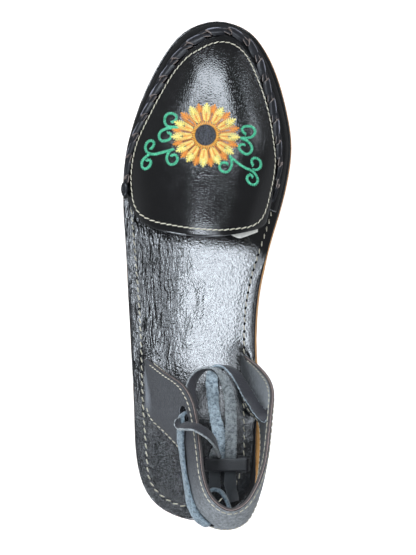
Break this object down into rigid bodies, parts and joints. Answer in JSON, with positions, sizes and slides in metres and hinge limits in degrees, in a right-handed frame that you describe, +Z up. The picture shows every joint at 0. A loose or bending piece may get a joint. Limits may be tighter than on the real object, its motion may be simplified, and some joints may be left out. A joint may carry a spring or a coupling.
{
  "type": "leather sandal",
  "caption": "Left leather sandal with a hollow closed-toe vamp, braided seam, open sides, and a slack heel strap with flat leather laces on a low-heeled tan sole.",
  "frame": {"origin": "on the floor, under the middle of the shoe's box", "axes": "+Y towards the toe, +Z up, +X towards the inner side of the foot"},
  "size_m": [0.0843, 0.2515, 0.0675],
  "materials": {
    "tan_sole": "plain tan, cut edge",
    "footbed_leather": "glazed black, wrinkled grain",
    "vamp_leather": "glossy black",
    "thong_leather": "satin black",
    "strap_leather": "satin black, cut edges",
    "lace_leather": "blue-grey suede side, black grain side",
    "keeper_leather": "smooth black"
  },
  "bodies": {
    "root": {"sole": "tan_sole", "footbed": "footbed_leather", "vamp": "vamp_leather", "braid": "thong_leather", "braid_knot": "thong_leather", "heel_strap": "strap_leather", "lace_run": "lace_leather", "lace_over": "lace_leather", "lace_lateral": "lace_leather", "lace_medial": "lace_leather", "lace_back": "lace_leather", "lace_keeper": "keeper_leather"}
  },
  "joints": []
}
